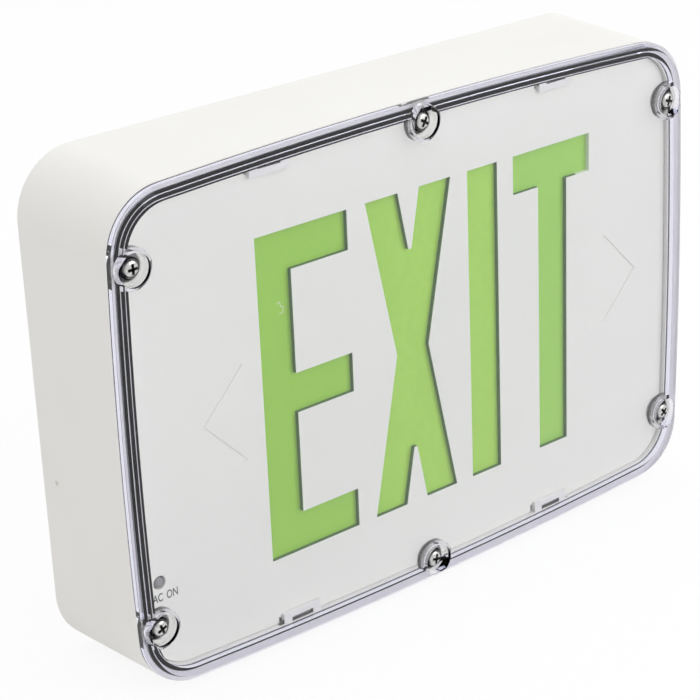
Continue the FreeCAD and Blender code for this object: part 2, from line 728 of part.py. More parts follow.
def make_clear_cover():
    body = new_body("clear_cover")
    seat = S["cover_seat"]
    front = S["cover_front"]
    sk = front_sketch(body, "cover_outline", seat)
    bowed_box(sk, S["cover_inset"])
    pad(body, sk, front - seat, "cover_block")
    sk = front_sketch(body, "cover_hollow", seat)
    bowed_box(sk, S["cover_bead"])
    pocket(body, sk, front - seat - S["cover_plate"], "cover_hollow_cut", True)
    sk = front_sketch(body, "cup_outsides", seat)
    circles(sk, cover_points(), S["cup_radius"])
    cups = pad(body, sk, front - seat - S["cover_plate"] / 2, "cup_pad")
    bevel_edges(body, cups, "cover_edge_bevel", S["cover_bevel"], lambda e: at_depth(e, front.v))
    sk = front_sketch(body, "cup_pockets", front)
    circles(sk, cover_points(), S["pocket_radius"])
    pocket(body, sk, front - seat - S["cup_floor"], "cup_pocket_cut")
    sk = front_sketch(body, "cover_holes", seat + S["cup_floor"])
    circles(sk, cover_points(), S["cover_hole"])
    pocket(body, sk, S["cup_floor"], "cover_hole_cut")


def make_screw_inserts():
    body = new_body("screw_inserts")
    low = S["cover_seat"] - S["insert_length"]
    sk = front_sketch(body, "insert_rings", low)
    circles(sk, cover_points(), S["insert_radius"])
    circles(sk, cover_points(), S["insert_bore"])
    pad(body, sk, S["insert_length"], "insert_pad")


def make_screw_seals():
    body = new_body("screw_seals")
    sk = front_sketch(body, "seal_rings", S["cover_seat"] + S["cup_floor"])
    circles(sk, cover_points(), S["seal_radius"])
    circles(sk, cover_points(), S["shank_radius"] + 0.1)
    pad(body, sk, S["seal_thick"], "seal_pad")


def cross(sk, cx, cy, long_half, wide_half):
    a = long_half
    b = wide_half
    polygon(sk, [(cx + a, cy - b), (cx + a, cy + b), (cx + b, cy + b), (cx + b, cy + a),
                 (cx - b, cy + a), (cx - b, cy + b), (cx - a, cy + b), (cx - a, cy - b),
                 (cx - b, cy - b), (cx - b, cy - a), (cx + b, cy - a), (cx + b, cy - b)])


def make_cover_screws():
    body = new_body("cover_screws")
    under = S["cover_seat"] + S["cup_floor"] + S["seal_thick"]
    sk = front_sketch(body, "head_rings", under)
    circles(sk, cover_points(), S["head_radius"])
    heads = pad(body, sk, S["head_height"], "heads")
    top = under + S["head_height"]
    round_edges(body, heads, "head_pan", S["head_round"], lambda e: at_depth(e, top.v))
    sk = front_sketch(body, "shank_rings", under + 0.5)
    circles(sk, cover_points(), S["shank_radius"])
    pad(body, sk, S["shank_length"] + 0.5, "shanks", True)
    sk = front_sketch(body, "driver_crosses", top)
    for cx, cy in cover_points():
        cross(sk, as_q(cx), as_q(cy), S["cross_long"], S["cross_half"])
    pocket(body, sk, S["cross_deep"], "driver_cross_cut")


# ---------------------------------------------------------------- face
def letter_e(sk, x0):
    x1 = x0 + S["stroke"]
    x2 = x0 + S["letter_width"]
    h = S["letter_half"]
    s = S["stroke"]
    m = S["mid_bar"]
    polygon(sk, [(x0, -h), (x2, -h), (x2, s - h), (x1, s - h), (x1, -m), (x2, -m),
                 (x2, m), (x1, m), (x1, h - s), (x2, h - s), (x2, h), (x0, h)])


def letter_x(sk, mid):
    h = S["letter_half"]
    w = S["ex_half"]
    g = S["ex_gap"]
    n = S["ex_notch_half"]
    z = S["ex_notch_z"]
    k = S["ex_waist"]
    polygon(sk, [(mid - w, -h), (mid - g, -h), (mid - n, -z), (mid + n, -z), (mid + g, -h),
                 (mid + w, -h), (mid + k, 0.0), (mid + w, h), (mid + g, h), (mid + n, z),
                 (mid - n, z), (mid - g, h), (mid - w, h), (mid - k, 0.0)])


def letter_t(sk, x0, stem):
    h = S["letter_half"]
    s = S["stroke"]
    x3 = x0 + S["tee_width"]
    st = stem + S["stroke"]
    polygon(sk, [(stem, -h), (st, -h), (st, h - s), (x3, h - s), (x3, h), (x0, h),
                 (x0, h - s), (stem, h - s)])


def arrow(sk, side):
    m = S["arrow_x"]
    tip = m + S["arrow_tip"] * side
    run = S["arrow_run"] * side
    band = S["arrow_band"] * side
    r = S["arrow_rise"]
    polygon(sk, [(tip, 0.0), (tip - run, r), (tip - run - band, r), (tip - band, 0.0),
                 (tip - run - band, -r), (tip - run, -r)])


def make_faceplate():
    body = new_body("faceplate")
    back = S["face_front"] - S["face_thick"]
    sk = front_sketch(body, "face_outline", back)
    bowed_box(sk, S["face_inset"])
    pad(body, sk, S["face_thick"], "face_plate")
    word = S["word_x"]
    left = word - S["word_half"]
    sk = front_sketch(body, "letter_windows", S["face_front"])
    letter_e(sk, left)
    letter_x(sk, word + S["ex_centre"])
    eye = word + S["eye_left"]
    rectangle(sk, eye, eye + S["stroke"], -S["letter_half"], S["letter_half"])
    letter_t(sk, word + S["word_half"] - S["tee_width"], word + S["tee_stem_left"])
    circles(sk, [lamp_spot()], S["lamp_hole"])
    pocket(body, sk, S["face_thick"], "letter_cut")
    # clearance round the screw bosses, open to the edge
    sk = front_sketch(body, "boss_notches", S["face_front"])
    circles(sk, cover_points(), S["boss_radius"] + S["notch_play"])
    pocket(body, sk, S["face_thick"], "boss_notch_cut")
    sk = front_sketch(body, "boss_notch_mouths", S["face_front"])
    n = S["boss_radius"] + S["notch_play"]
    for x, z in cover_points()[:4]:
        x = as_q(x)
        far = S["body_width"] / 2
        low = x if x.v > 0 else -far
        high = far if x.v > 0 else x
        rectangle(sk, low, high, z - n, z + n)
    for x, z in cover_points()[4:]:
        far = S["body_height"] / 2
        low = z if z.v > 0 else -far
        high = far if z.v > 0 else z
        rectangle(sk, -n, n, low, high)
    pocket(body, sk, S["face_thick"], "boss_notch_mouth_cut")
    # slits beside the catches
    sk = front_sketch(body, "catch_slits", S["face_front"])
    edge = S["body_height"] / 2 - S["rim_width"]
    for x, side in catches():
        x1 = x - S["catch_half"]
        near = (edge - 4.6) * side
        far = (edge + 0.5) * side
        low = far if side < 0 else near
        high = near if side < 0 else far
        rectangle(sk, x1 - S["slit_width"], x1, low, high)
    pocket(body, sk, S["face_thick"], "catch_slit_cut")
    # openings behind the slots of the catches
    sk = front_sketch(body, "catch_windows", S["face_front"])
    for x, side in catches():
        near = (edge - S["catch_slot_in"]) * side
        far = (edge - S["catch_slot_in"] + S["catch_slot_high"]) * side
        low = far if side < 0 else near
        high = near if side < 0 else far
        rectangle(sk, x - S["catch_slot_half"], x + S["catch_slot_half"], low, high)
    pocket(body, sk, S["face_thick"], "catch_window_cut")
    sk = front_sketch(body, "arrow_outlines", S["face_front"])
    arrow(sk, 1)
    arrow(sk, -1)
    pocket(body, sk, S["arrow_deep"], "arrow_cut")


def make_diffuser():
    body = new_body("green_diffuser")
    front = S["face_front"] - S["face_thick"]
    inset = S["box_wall"] - S["rebate"] + S["diffuser_play"]
    sk = front_sketch(body, "diffuser_outline", front - S["diffuser_thick"])
    round_box(sk, box_half()[0] - inset, box_half()[1] - inset, S["box_corner"] - inset, S["box_x"])
    pad(body, sk, S["diffuser_thick"], "diffuser_pad")


def make_light_box():
    body = new_body("light_box")
    front = S["face_front"] - S["face_thick"]
    wall = S["box_wall"]
    sk = front_sketch(body, "box_outline", S["box_back"])
    round_box(sk, box_half()[0], box_half()[1], S["box_corner"], S["box_x"])
    pad(body, sk, front - S["box_back"], "box_block")
    sk = front_sketch(body, "box_room", front)
    round_box(sk, box_half()[0] - wall, box_half()[1] - wall, S["box_corner"] - wall, S["box_x"])
    pocket(body, sk, front - S["box_back"] - S["box_floor"], "box_room_cut")
    sk = front_sketch(body, "box_rebate", front)
    inset = wall - S["rebate"]
    round_box(sk, box_half()[0] - inset, box_half()[1] - inset, S["box_corner"] - inset, S["box_x"])
    pocket(body, sk, S["diffuser_thick"], "box_rebate_cut")
    sk = front_sketch(body, "box_holes", S["box_back"] + S["box_floor"])
    circles(sk, box_posts(), S["small_hole"])
    lead = S["lead_radius"] + S["lead_hole_play"]
    x = S["box_x"] - strip_half() - S["lead_hole_in"]
    z = box_half()[1] - wall - S["lead_hole_up"]
    circles(sk, [(x, z), (x, -z)], lead)
    pocket(body, sk, S["box_floor"], "box_hole_cut")


def make_screws(label, centres, under, length):
    body = new_body(label)
    sk = front_sketch(body, label + "_heads", under)
    circles(sk, centres, S["small_head"])
    heads = pad(body, sk, S["small_head_high"], label + "_head_pad")
    top = under + S["small_head_high"]
    round_edges(body, heads, label + "_pan", S["small_round"], lambda e: at_depth(e, top.v))
    sk = front_sketch(body, label + "_shanks", under + 0.4)
    circles(sk, centres, S["small_screw"])
    pad(body, sk, length + 0.4, label + "_shank_pad", True)
    sk = front_sketch(body, label + "_crosses", top)
    for cx, cy in centres:
        cross(sk, as_q(cx), as_q(cy), S["small_cross"], S["small_cross_half"])
    pocket(body, sk, S["small_cross_deep"], label + "_cross_cut")


def make_led_board(label, side):
    body = new_body(label)
    sk = front_sketch(body, label + "_end", S["strip_depth"])
    edge = box_half()[1] - S["box_wall"]
    inner = edge - S["strip_thick"]
    low = inner if side > 0 else -edge
    high = edge if side > 0 else -inner
    mid = S["box_x"]
    rectangle(sk, mid - strip_half(), mid + strip_half(), low, high)
    pad(body, sk, S["strip_wide"], label + "_pad")


def make_strip_leds():
    body = new_body("strip_leds")
    start = S["strip_depth"] + (S["strip_wide"] - S["led_deep"]) / 2
    sk = front_sketch(body, "led_ends", start)
    edge = box_half()[1] - S["box_wall"] - S["strip_thick"]
    half = S["led_wide"] / 2
    for side in (1, -1):
        low = edge - S["led_high"] if side > 0 else -edge
        high = edge if side > 0 else -edge + S["led_high"]
        for k in range(9):
            x = S["box_x"] + S["led_pitch"] * (k - 4)
            rectangle(sk, x - half, x + half, low, high)
    pad(body, sk, S["led_deep"], "led_pad")


def lamp_base():
    return S["face_front"] - S["face_thick"] - S["lamp_seat"]


def make_indicator():
    body = new_body("ac_on_led")
    tip = S["face_front"] + S["lamp_proud"]
    base = lamp_base()
    centre = [lamp_spot()]
    sk = front_sketch(body, "lens_ring", base)
    circles(sk, centre, S["lamp_radius"])
    lens = pad(body, sk, tip - base, "lens_pad")
    round_edges(body, lens, "lens_dome", S["lamp_dome"], lambda e: at_depth(e, tip.v))
    sk = front_sketch(body, "lens_flange_ring", base)
    circles(sk, centre, S["lamp_flange"])
    pad(body, sk, S["lamp_flange_high"], "lens_flange")
    body = new_body("led_holder")
    low = base - S["holder_floor"]
    high = S["face_front"] - S["face_thick"]
    sk = front_sketch(body, "holder_ring", low)
    circles(sk, centre, S["lamp_flange"] + S["holder_wall"])
    pad(body, sk, high - low, "holder_pad")
    sk = front_sketch(body, "holder_bore", high)
    circles(sk, centre, S["lamp_radius"] + S["lamp_play"])
    pocket(body, sk, high - low, "holder_bore_cut")
    sk = front_sketch(body, "holder_seat", base)
    circles(sk, centre, S["lamp_flange"] + S["lamp_play"])
    pocket(body, sk, S["lamp_flange_high"] + S["lamp_play"], "holder_seat_cut", True)


# ---------------------------------------------------------------- power
def board_top():
    return S["board_depth"] + S["board_thick"]


def make_board():
    body = new_body("charger_board")
    sk = front_sketch(body, "board_outline", S["board_depth"])
    rectangle(sk, S["board_left"], S["board_right"], S["board_low"], S["board_high"])
    circles(sk, board_posts(), S["small_hole"])
    pad(body, sk, S["board_thick"], "board_pad")


def make_transformer():
    body = new_body("transformer_core")
    x = S["core_x"]
    z = S["core_z"]
    hx = S["core_half_x"]
    hz = S["core_half_z"]
    base = board_top() + S["coil_stand"]
    sk = front_sketch(body, "core_outline", base)
    rectangle(sk, x - hx, x + hx, z - hz, z + hz)
    gap = S["limb_half"]
    side = S["coil_half_x"] + 0.6
    rectangle(sk, x + gap, x + side + 2.0, z - S["window_half"], z + S["window_half"])
    rectangle(sk, x - side - 2.0, x - gap, z - S["window_half"], z + S["window_half"])
    pad(body, sk, S["core_thick"], "core_pad")
    body = new_body("transformer_coil")
    sk = front_sketch(body, "coil_outline", board_top())
    hw = S["window_half"] - 0.2
    rectangle(sk, x - side - 1.6, x + side + 1.6, z - hw, z + hw)
    pad(body, sk, S["core_thick"] + S["coil_stand"] * 2, "coil_pad")
    sk = front_sketch(body, "coil_limb", base - 0.05)
    rectangle(sk, x - gap - 0.1, x + gap + 0.1, z - hw, z + hw)
    pocket(body, sk, S["core_thick"] + 0.1, "coil_limb_cut", True)


def make_small_parts():
    top = board_top()
    body = new_body("board_capacitors")
    sk = front_sketch(body, "capacitor_rings", top)
    row = S["board_low"] + 12.0
    spots = [(S["board_right"] - 34.0, row), (S["board_right"] - 20.0, row)]
    circles(sk, spots, S["cap_radius"])
    caps = pad(body, sk, S["cap_height"], "capacitor_pad")
    rim = top + S["cap_height"]
    round_edges(body, caps, "capacitor_round", 0.8, lambda e: at_depth(e, rim.v))
    body = new_body("board_plugs")
    sk = front_sketch(body, "plug_outlines", top)
    for x, z in plug_spots():
        rectangle(sk, x - S["plug_wide"] / 2, x + S["plug_wide"] / 2, z - S["plug_deep"] / 2,
                  z + S["plug_deep"] / 2)
    pad(body, sk, S["plug_high"], "plug_pad")


def plug_spots():
    """Battery, supply, LED and indicator plugs on the board."""
    right = S["board_right"]
    high = S["board_high"]
    return [(right - 8.0, S["core_z"] - 12.0), (right - 14.0, high - 5.0),
            (right - 52.0, high - 5.0), (S["board_left"] + 22.0, high - 5.0)]


def make_battery():
    body = new_body("battery_cells")
    r = S["cell_radius"]
    axis = S["back_wall"] + S["wrap_thick"] + r
    pitch = r * 2 + S["cell_play"] / 2
    spots = [(-axis, S["cell_z"] + pitch * k) for k in (-1, 0, 1)]
    sk = side_sketch(body, "cell_rings", S["cell_x"])
    circles(sk, spots, r)
    pad(body, sk, S["cell_length"], "cell_pad")
    # shrink sleeve round the three cells
    body = new_body("battery_sleeve")
    t = S["wrap_thick"]
    grow = r + t
    sk = side_sketch(body, "sleeve_outline", S["cell_x"] - t)
    round_box(sk, grow, pitch + grow, grow - 0.4, -axis, S["cell_z"])
    pad(body, sk, S["cell_length"] + t * 2, "sleeve_pad")
    sk = side_sketch(body, "sleeve_room", S["cell_x"] - t)
    room = r + 0.02
    round_box(sk, room, pitch + room, room - 0.3, -axis, S["cell_z"])
    pocket(body, sk, S["cell_length"] + t * 2, "sleeve_room_cut", True)


def make_strap():
    body = new_body("battery_strap")
    t = S["strap_thick"]
    r = S["cell_radius"]
    foot = S["back_wall"] + S["strap_post"]
    top = S["back_wall"] + S["wrap_thick"] * 2 + r * 2
    half = strap_reach() + S["strap_play"]
    z = S["cell_z"]
    end = half + t + S["strap_foot"]
    sk = side_sketch(body, "strap_outline", strap_mid() - S["strap_wide"] / 2)
    polygon(sk, [(-foot, z - end), (-foot - t, z - end), (-foot - t, z - half - t),
                 (-top - t, z - half - t), (-top - t, z + half + t), (-foot - t, z + half + t),
                 (-foot - t, z + end), (-foot, z + end), (-foot, z + half), (-top, z + half),
                 (-top, z - half), (-foot, z - half)])
    pad(body, sk, S["strap_wide"], "strap_pad")
    sk = front_sketch(body, "strap_holes", foot + t)
    circles(sk, strap_posts(), S["small_hole"] + 0.1)
    pocket(body, sk, t, "strap_hole_cut")


# ---------------------------------------------------------------- leads
def bent_path(spots, bend):
    """Straight runs joined by round bends that touch them."""
    edges = []
    here = spots[0]
    for i in range(1, len(spots) - 1):
        corner = spots[i]
        back = spots[i - 1] - corner
        ahead = spots[i + 1] - corner
        share_back = 1.0 if i == 1 else 0.5
        share_ahead = 1.0 if i == len(spots) - 2 else 0.5
        room = min(back.Length * share_back, ahead.Length * share_ahead)
        reach = min(bend, room * 0.9)
        back.normalize()
        ahead.normalize()
        half = back.getAngle(ahead) / 2.0
        if half > 1.55:
            continue
        first = corner + back * reach
        last = corner + ahead * reach
        inward = back + ahead
        inward.normalize()
        radius = reach * math.tan(half)
        middle = corner + inward * (reach / math.cos(half) - radius)
        edges.append(Part.LineSegment(here, first).toShape())
        edges.append(Part.Arc(first, middle, last).toShape())
        here = last
    edges.append(Part.LineSegment(here, spots[-1]).toShape())
    return Part.Wire(edges)


def tube(label, paths, radius):
    """Round leads along bent paths, one solid for each path."""
    solids = []
    for points in paths:
        spots = [App.Vector(*p) for p in points]
        path = bent_path(spots, S["lead_bend"].v)
        ring = Part.Wire([Part.makeCircle(radius.v, spots[0], spots[1] - spots[0])])
        solids.append(path.makePipeShell([ring], True, False))
    feature = doc.addObject("Part::Feature", label)
    feature.Label = label
    feature.Shape = solids[0] if len(solids) == 1 else Part.makeCompound(solids)
    PARTS.append(feature)
    return feature


def make_battery_leads():
    """From the battery plug to the near end of the middle cell."""
    bx, bz = [q.v for q in plug_spots()[0]]
    face = board_top().v + S["plug_high"].v
    cz = S["cell_z"].v
    end_x = S["cell_x"].v
    step = S["lead_step"].v
    half = S["lead_split"].v
    mid = -(S["back_wall"].v + S["wrap_thick"].v + S["cell_radius"].v)
    for label, side in (("battery_lead_red", -1), ("battery_lead_black", 1)):
        off = half * side
        rise = -face - S["lead_lift"].v - (half / 2 if side < 0 else 0.0)
        row = -step * 0.4 * side
        points = [(bx + off, -face, bz), (bx + off, rise, bz), (bx + step * 2.0, rise, bz + row),
                  (end_x - step * 2.2, mid, cz + row), (end_x, mid, cz + row)]
        tube(label, [points], S["lead_radius"])


def make_supply_leads():
    """From the wire entry in the back wall to the supply plug."""
    sx, sz = [q.v for q in plug_spots()[1]]
    face = board_top().v + S["plug_high"].v
    step = S["lead_step"].v
    off = S["lead_split"].v
    lift = S["lead_lift"].v
    start = -S["lead_end_in"].v
    black = [(off, start, 0.0), (off, -step * 1.5, 0.0), (-step * 0.6, -step * 2.2, step * 0.5),
             (sx + off, -face - lift, sz), (sx + off, -face, sz)]
    white = [(-off, start, 0.0), (-off, -step * 1.4, 0.0), (-step * 0.8, -step * 1.9, step * 1.3),
             (sx - off, -face - lift * 1.5, sz + step * 0.4), (sx - off, -face - lift * 0.8, sz),
             (sx - off, -face, sz)]
    tube("supply_lead_black", [black], S["lead_radius"])
    tube("supply_lead_white", [white], S["lead_radius"])


def make_strip_leads():
    """From the board through the floor of the light box to both LED boards."""
    lx, lz = [q.v for q in plug_spots()[2]]
    face = board_top().v + S["plug_high"].v
    step = S["lead_step"].v
    off = S["lead_split"].v
    lift = S["lead_lift"].v
    layer = S["lead_layer"].v
    end_x = (S["box_x"] - strip_half()).v
    hx = end_x - S["lead_hole_in"].v
    hz = (box_half()[1] - S["box_wall"] - S["lead_hole_up"]).v
    board = -(S["strip_depth"].v + S["strip_wide"].v / 2)
    near = end_x - S["lead_hole_in"].v * 0.6
    inner = (box_half()[1] - S["box_wall"] - S["strip_thick"] / 2).v
    up = [(lx + off, -face, lz), (lx + off, -face - lift * 1.2, lz), (lx - step, -layer, lz + step * 2.4),
          (hx, -layer, hz), (hx, board, hz), (near, board, inner), (end_x, board, inner)]
    down = [(lx - off, -face, lz), (lx - off, -face - lift, lz),
            (lx - step * 0.1, -layer * 0.92, lz - step * 5.0), (hx, -layer, -hz), (hx, board, -hz),
            (near, board, -inner), (end_x, board, -inner)]
    tube("strip_leads", [up, down], S["thin_lead"])


def make_indicator_leads():
    """The two legs of the indicator, bent back to their plug."""
    px, pz = [q.v for q in plug_spots()[3]]
    face = board_top().v + S["plug_high"].v
    lamp_x, lamp_z = [q.v for q in lamp_spot()]
    base = lamp_base().v
    step = S["lead_step"].v
    lift = S["lead_lift"].v
    layer = S["lead_layer"].v
    paths = []
    for side in (1, -1):
        off = S["lamp_leg_half"].v * side
        paths.append([(lamp_x + off, -base, lamp_z), (lamp_x + off, -layer * 1.12, lamp_z),
                      (lamp_x + step * 1.4 + off, -layer * 0.96, lamp_z + step * 5.6),
                      (px + off - step * 0.8, -face - lift + off, pz - step * 0.8),
                      (px + off, -face - lift + off, pz), (px + off, -face, pz)])
    tube("indicator_leads", paths, S["lamp_leg"])


def make_lead_wires():
    make_battery_leads()
    make_supply_leads()
    make_strip_leads()
    make_indicator_leads()


def check_and_write():
    doc.recompute()
    bad = []
    for obj in doc.Objects:
        state = [str(s) for s in obj.State]
        if "Invalid" in state or "Error" in state:
            bad.append((obj.Name, state))
    if bad:
        raise RuntimeError("features with errors: %s" % bad)
    os.makedirs("parts", exist_ok=True)
    for part in PARTS:
        shape = part.Shape
        if shape.isNull() or not shape.isValid():
            raise RuntimeError("bad shape: %s" % part.Label)
        shape.exportStep("parts/%s.step" % part.Label)
        box = shape.BoundBox
        print("%-22s solids %2d  volume %10.1f  x %7.2f %7.2f  y %7.2f %7.2f  z %7.2f %7.2f" % (
            part.Label, len(shape.Solids), shape.Volume, box.XMin, box.XMax, box.YMin, box.YMax,
            box.ZMin, box.ZMax))


make_housing()
make_wall_gasket()
make_entry_grommet()
make_cover_gasket()
make_clear_cover()
make_screw_inserts()
make_screw_seals()
make_cover_screws()
make_faceplate()
make_diffuser()
make_light_box()
make_screws("light_box_screws", box_posts(), S["box_back"] + S["box_floor"], S["box_screw_length"])
make_led_board("led_board_upper", 1)
make_led_board("led_board_lower", -1)
make_strip_leds()
make_indicator()
make_board()
make_screws("board_screws", board_posts(), board_top(), S["board_screw_length"])
make_transformer()
make_small_parts()
make_battery()
make_strap()
make_screws("strap_screws", strap_posts(), S["back_wall"] + S["strap_post"] + S["strap_thick"],
            S["strap_screw_length"])
make_lead_wires()
check_and_write()
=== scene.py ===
import math

import bmesh
import bpy
from mathutils import Euler, Matrix, Vector


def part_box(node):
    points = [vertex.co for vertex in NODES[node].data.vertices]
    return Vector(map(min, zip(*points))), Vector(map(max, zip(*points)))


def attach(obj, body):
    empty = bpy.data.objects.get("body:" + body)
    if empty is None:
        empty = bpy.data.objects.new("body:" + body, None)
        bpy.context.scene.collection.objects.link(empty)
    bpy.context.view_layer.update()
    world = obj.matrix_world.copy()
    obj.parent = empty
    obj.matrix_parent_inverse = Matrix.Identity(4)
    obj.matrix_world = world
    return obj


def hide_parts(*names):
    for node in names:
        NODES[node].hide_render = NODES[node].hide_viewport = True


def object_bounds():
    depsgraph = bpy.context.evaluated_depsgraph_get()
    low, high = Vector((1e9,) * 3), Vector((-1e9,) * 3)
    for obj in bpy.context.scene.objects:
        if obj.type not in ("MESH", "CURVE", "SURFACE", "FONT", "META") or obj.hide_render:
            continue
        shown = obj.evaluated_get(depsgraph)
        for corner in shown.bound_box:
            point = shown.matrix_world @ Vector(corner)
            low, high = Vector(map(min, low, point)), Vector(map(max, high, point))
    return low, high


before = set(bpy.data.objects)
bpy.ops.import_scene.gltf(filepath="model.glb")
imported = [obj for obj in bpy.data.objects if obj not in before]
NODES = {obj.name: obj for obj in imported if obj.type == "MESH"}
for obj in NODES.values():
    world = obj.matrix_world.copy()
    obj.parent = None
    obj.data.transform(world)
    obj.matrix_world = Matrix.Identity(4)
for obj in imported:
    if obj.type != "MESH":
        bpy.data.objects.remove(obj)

CAD_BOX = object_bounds()
MM = 0.001

# Sockets of the colour Mix node
MIX_FACTOR, MIX_A, MIX_B, MIX_RESULT = 0, 6, 7, 2
NOISE_ROUGHNESS = 0.55


# ---------------------------------------------------------------- colours and nodes

def tone(red, green, blue):
    """An 8-bit display colour as the linear colour that a shader takes."""
    out = []
    for value in (red, green, blue):
        c = value / 255.0
        out.append(c / 12.92 if c <= 0.04045 else ((c + 0.055) / 1.055) ** 2.4)
    return out + [1.0]


class Look:
    """One node material, with short calls for the nodes that the looks below share."""

    def __init__(self, name):
        self.mat = bpy.data.materials.new(name)
        self.mat.use_nodes = True
        self.tree = self.mat.node_tree
        self.bsdf = self.tree.nodes["Principled BSDF"]
        self.out = self.tree.nodes["Material Output"]
        self.place = self.node("ShaderNodeTexCoord").outputs["Object"]
        self.height = None

    def node(self, kind, **settings):
        made = self.tree.nodes.new(kind)
        for key, value in settings.items():
            setattr(made, key, value)
        return made

    def link(self, a, b):
        self.tree.links.new(a, b)

    def put(self, socket, value):
        self.bsdf.inputs[socket].default_value = value

    def feed(self, socket, value):
        self.link(value, self.bsdf.inputs[socket])

    def math(self, operation, a, b=None):
        made = self.node("ShaderNodeMath", operation=operation)
        for k, value in enumerate((a, b)):
            if isinstance(value, (int, float)):
                made.inputs[k].default_value = value
            elif value is not None:
                self.link(value, made.inputs[k])
        return made.outputs[0]

    def noise(self, scale, detail=3.0, stretch=None):
        """Soft noise over the object, 0 to 1; scale is in patches per metre."""
        made = self.node("ShaderNodeTexNoise")
        made.inputs["Scale"].default_value = scale
        made.inputs["Detail"].default_value = detail
        made.inputs["Roughness"].default_value = NOISE_ROUGHNESS
        source = self.place
        if stretch:
            shift = self.node("ShaderNodeMapping")
            shift.inputs["Scale"].default_value = stretch
            self.link(source, shift.inputs["Vector"])
            source = shift.outputs["Vector"]
        self.link(source, made.inputs["Vector"])
        return made.outputs["Fac"]

    def ramp(self, value, low, high, out_low=0.0, out_high=1.0):
        """value from low to high becomes out_low to out_high, and is held beyond them."""
        made = self.node("ShaderNodeMapRange")
        made.clamp = True
        self.link(value, made.inputs["Value"])
        made.inputs["From Min"].default_value = low
        made.inputs["From Max"].default_value = high
        made.inputs["To Min"].default_value = out_low
        made.inputs["To Max"].default_value = out_high
        return made.outputs["Result"]

    def mix(self, fac, a, b):
        made = self.node("ShaderNodeMix", data_type="RGBA")
        for index, value in ((MIX_FACTOR, fac), (MIX_A, a), (MIX_B, b)):
            if isinstance(value, (int, float, list, tuple)):
                made.inputs[index].default_value = value
            else:
                self.link(value, made.inputs[index])
        return made.outputs[MIX_RESULT]

    def tint(self, mask, strength, under, over):
        """under, with over laid on it where mask is 1, at the given strength."""
        return self.mix(self.math("MULTIPLY", mask, strength), under, over)

    def axis(self, name):
        """One coordinate of the point in the object's own frame, in metres."""
        made = self.node("ShaderNodeSeparateXYZ")
        self.link(self.place, made.inputs[0])
        return made.outputs[name]

    def near(self, point, radius):
        """1 in the inner half of a small ball, falling to 0 at its edge."""
        made = self.node("ShaderNodeVectorMath", operation="DISTANCE")
        self.link(self.place, made.inputs[0])
        made.inputs[1].default_value = point
        return self.ramp(made.outputs["Value"], radius * 0.5, radius, 1.0, 0.0)

    def stroke(self, start, end, width):
        """1 along a thin straight line between two points, fading over its outer part."""
        a = Vector(start)
        run = Vector(end) - a
        length = run.length
        run.normalize()
        rel = self.node("ShaderNodeVectorMath", operation="SUBTRACT")
        self.link(self.place, rel.inputs[0])
        rel.inputs[1].default_value = a
        along = self.node("ShaderNodeVectorMath", operation="DOT_PRODUCT")
        self.link(rel.outputs[0], along.inputs[0])
        along.inputs[1].default_value = run
        held = self.math("MINIMUM", self.math("MAXIMUM", along.outputs["Value"], 0.0), length)
        foot = self.node("ShaderNodeVectorMath", operation="SCALE")
        foot.inputs[0].default_value = run
        self.link(held, foot.inputs["Scale"])
        off = self.node("ShaderNodeVectorMath", operation="DISTANCE")
        self.link(rel.outputs[0], off.inputs[0])
        self.link(foot.outputs[0], off.inputs[1])
        return self.ramp(off.outputs["Value"], width * 0.4, width, 1.0, 0.0)

    def bump(self, height, distance, strength=1.0):
        """Adds a height in metres to the surface; calls add up."""
        made = self.node("ShaderNodeBump")
        made.inputs["Strength"].default_value = strength
        made.inputs["Distance"].default_value = distance
        self.link(height, made.inputs["Height"])
        if self.height:
            self.link(self.height, made.inputs["Normal"])
        self.height = made.outputs["Normal"]
        self.link(self.height, self.bsdf.inputs["Normal"])

    def mottle(self, base, dark, scale, amount=1.0):
        """base varied softly toward dark over the surface."""
        cloud = self.ramp(self.noise(scale, 4.0), 0.35, 0.72, 0.0, amount)
        return self.mix(cloud, base, dark)


PLASTIC_IOR = 1.5


def plastic(name, base, dark, rough=0.42, grain=1700.0, depth=0.012 * MM):
    """Moulded plastic: soft colour clouds, fine moulded grain and uneven gloss."""
    look = Look(name)
    look.feed("Base Color", look.mottle(base, dark, 9.0, 0.55))
    fine = look.noise(grain, 2.0)
    sheen = look.noise(34.0, 5.0)
    look.feed("Roughness", look.ramp(sheen, 0.25, 0.75, rough - 0.05, rough + 0.07))
    look.put("IOR", PLASTIC_IOR)
    look.bump(fine, depth, 0.6)
    look.bump(look.noise(60.0, 2.0), depth * 4.0, 0.5)
    return look


def metal(name, base, dark, rough=0.28, stretch=(1.0, 1.0, 1.0), grain=2600.0, edge=None):
    """Metal with fine grain; edge is (start, end, shade), a painted shade colour laid on toward larger
    Y.
    """
    look = Look(name)
    look.put("Metallic", 1.0)
    colour = look.mottle(base, dark, 700.0, 0.6)
    if edge:
        start, end, shade = edge
        # painted shade: the colour darkens toward larger Y
        colour = look.mix(look.ramp(look.axis("Y"), start, end, 0.0, 0.9), colour, shade)
    look.feed("Base Color", colour)
    fine = look.noise(grain, 3.0, stretch=stretch)
    look.feed("Roughness", look.ramp(fine, 0.2, 0.8, rough - 0.08, rough + 0.12))
    look.bump(fine, 0.000006, 0.5)
    return look


def rubber(name, base, dark):
    """Dull rubber with a fine skin."""
    look = Look(name)
    look.feed("Base Color", look.mottle(base, dark, 300.0, 0.8))
    look.feed("Roughness", look.ramp(look.noise(900.0), 0.2, 0.8, 0.55, 0.75))
    look.put("Specular IOR Level", 0.15)
    look.bump(look.noise(2400.0), 0.00001, 0.6)
    return look


def show(name, look):
    """Gives a CAD node its look in every material slot."""
    obj = NODES[name]
    for slot in obj.material_slots:
        slot.material = look.mat
    if not obj.material_slots:
        obj.data.materials.append(look.mat)


# ---------------------------------------------------------------- the looks

